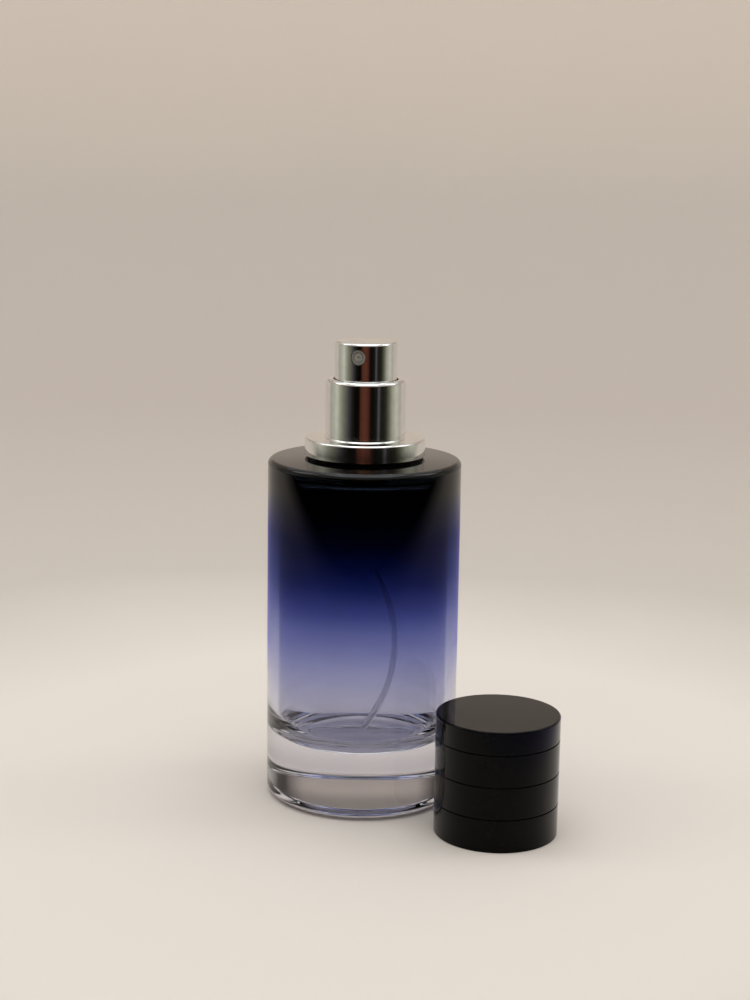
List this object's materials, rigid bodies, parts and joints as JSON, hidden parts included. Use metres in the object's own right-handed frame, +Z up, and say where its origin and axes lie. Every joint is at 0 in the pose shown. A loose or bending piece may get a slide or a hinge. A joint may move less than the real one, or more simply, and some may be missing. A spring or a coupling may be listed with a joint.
{
  "type": "aftershave bottle",
  "caption": "Round glass aftershave bottle with a thick base, crimped spray pump with metal collar and spray head, and its grooved black cap standing beside it.",
  "frame": {"origin": "centre of the bottle's base ring, on the surface that it stands on", "axes": "+Z up along the bottle's axis; the spray leaves along -Y; the cap stands on the +X side"},
  "size_m": [0.0681, 0.0502, 0.1008],
  "materials": {
    "tinted_glass": "clear glass, spray-coated outside: black at the shoulder, fading through navy and violet to clear at the base",
    "clear_plastic": "translucent",
    "natural_plastic": "natural, smooth",
    "soft_seal": "smooth",
    "steel": "drawn wire and polished ball",
    "raw_aluminium": "rolled, plain",
    "bright_aluminium": "bright anodised, mirror-like",
    "grey_plastic": "smooth moulded",
    "black_lacquer": "high-gloss black",
    "black_plastic": "smooth moulded"
  },
  "bodies": {
    "bottle": {"glass_bottle": "tinted_glass", "dip_tube": "clear_plastic", "pump_housing": "natural_plastic", "return_spring": "steel", "turret": "natural_plastic", "stem_seal": "soft_seal", "neck_gasket": "soft_seal", "crimp_ferrule": "raw_aluminium", "collar_insert": "natural_plastic", "collar": "bright_aluminium"},
    "stem": {"stem": "natural_plastic", "valve_pin": "natural_plastic", "piston_spring": "steel"},
    "piston": {"piston": "natural_plastic"},
    "spray_head": {"actuator_core": "grey_plastic", "actuator_shell": "bright_aluminium", "nozzle_insert": "grey_plastic"},
    "ball": {"inlet_ball": "steel"},
    "cap": {"cap_shell": "black_lacquer", "cap_liner": "black_plastic"}
  },
  "joints": [
    {"name": "pump_press", "type": "slide", "parent": "bottle", "child": "stem", "axis": [0, 0, -1], "range_m": [0, 0.004], "stiffness_N_per_m": 1500, "springref_m": -0.004, "deforming": ["return_spring"]},
    {"name": "valve_open", "type": "slide", "parent": "stem", "child": "piston", "axis": [0, 0, 1], "range_m": [0, 0.0005], "stiffness_N_per_m": 1000, "springref_m": -0.002, "deforming": ["piston_spring"]},
    {"name": "spray_turn", "type": "hinge", "parent": "stem", "child": "spray_head", "pos_m": [0, 0, 0.09725], "axis": [0, 0, 1], "continuous": true},
    {"name": "inlet_open", "type": "slide", "parent": "bottle", "child": "ball", "axis": [0, 0, 1], "range_m": [0, 0.0006]},
    {"name": "cap_lift", "type": "slide", "parent": "bottle", "child": "cap", "axis": [0, 0, 1], "range_m": [0, 0.11]}
  ]
}
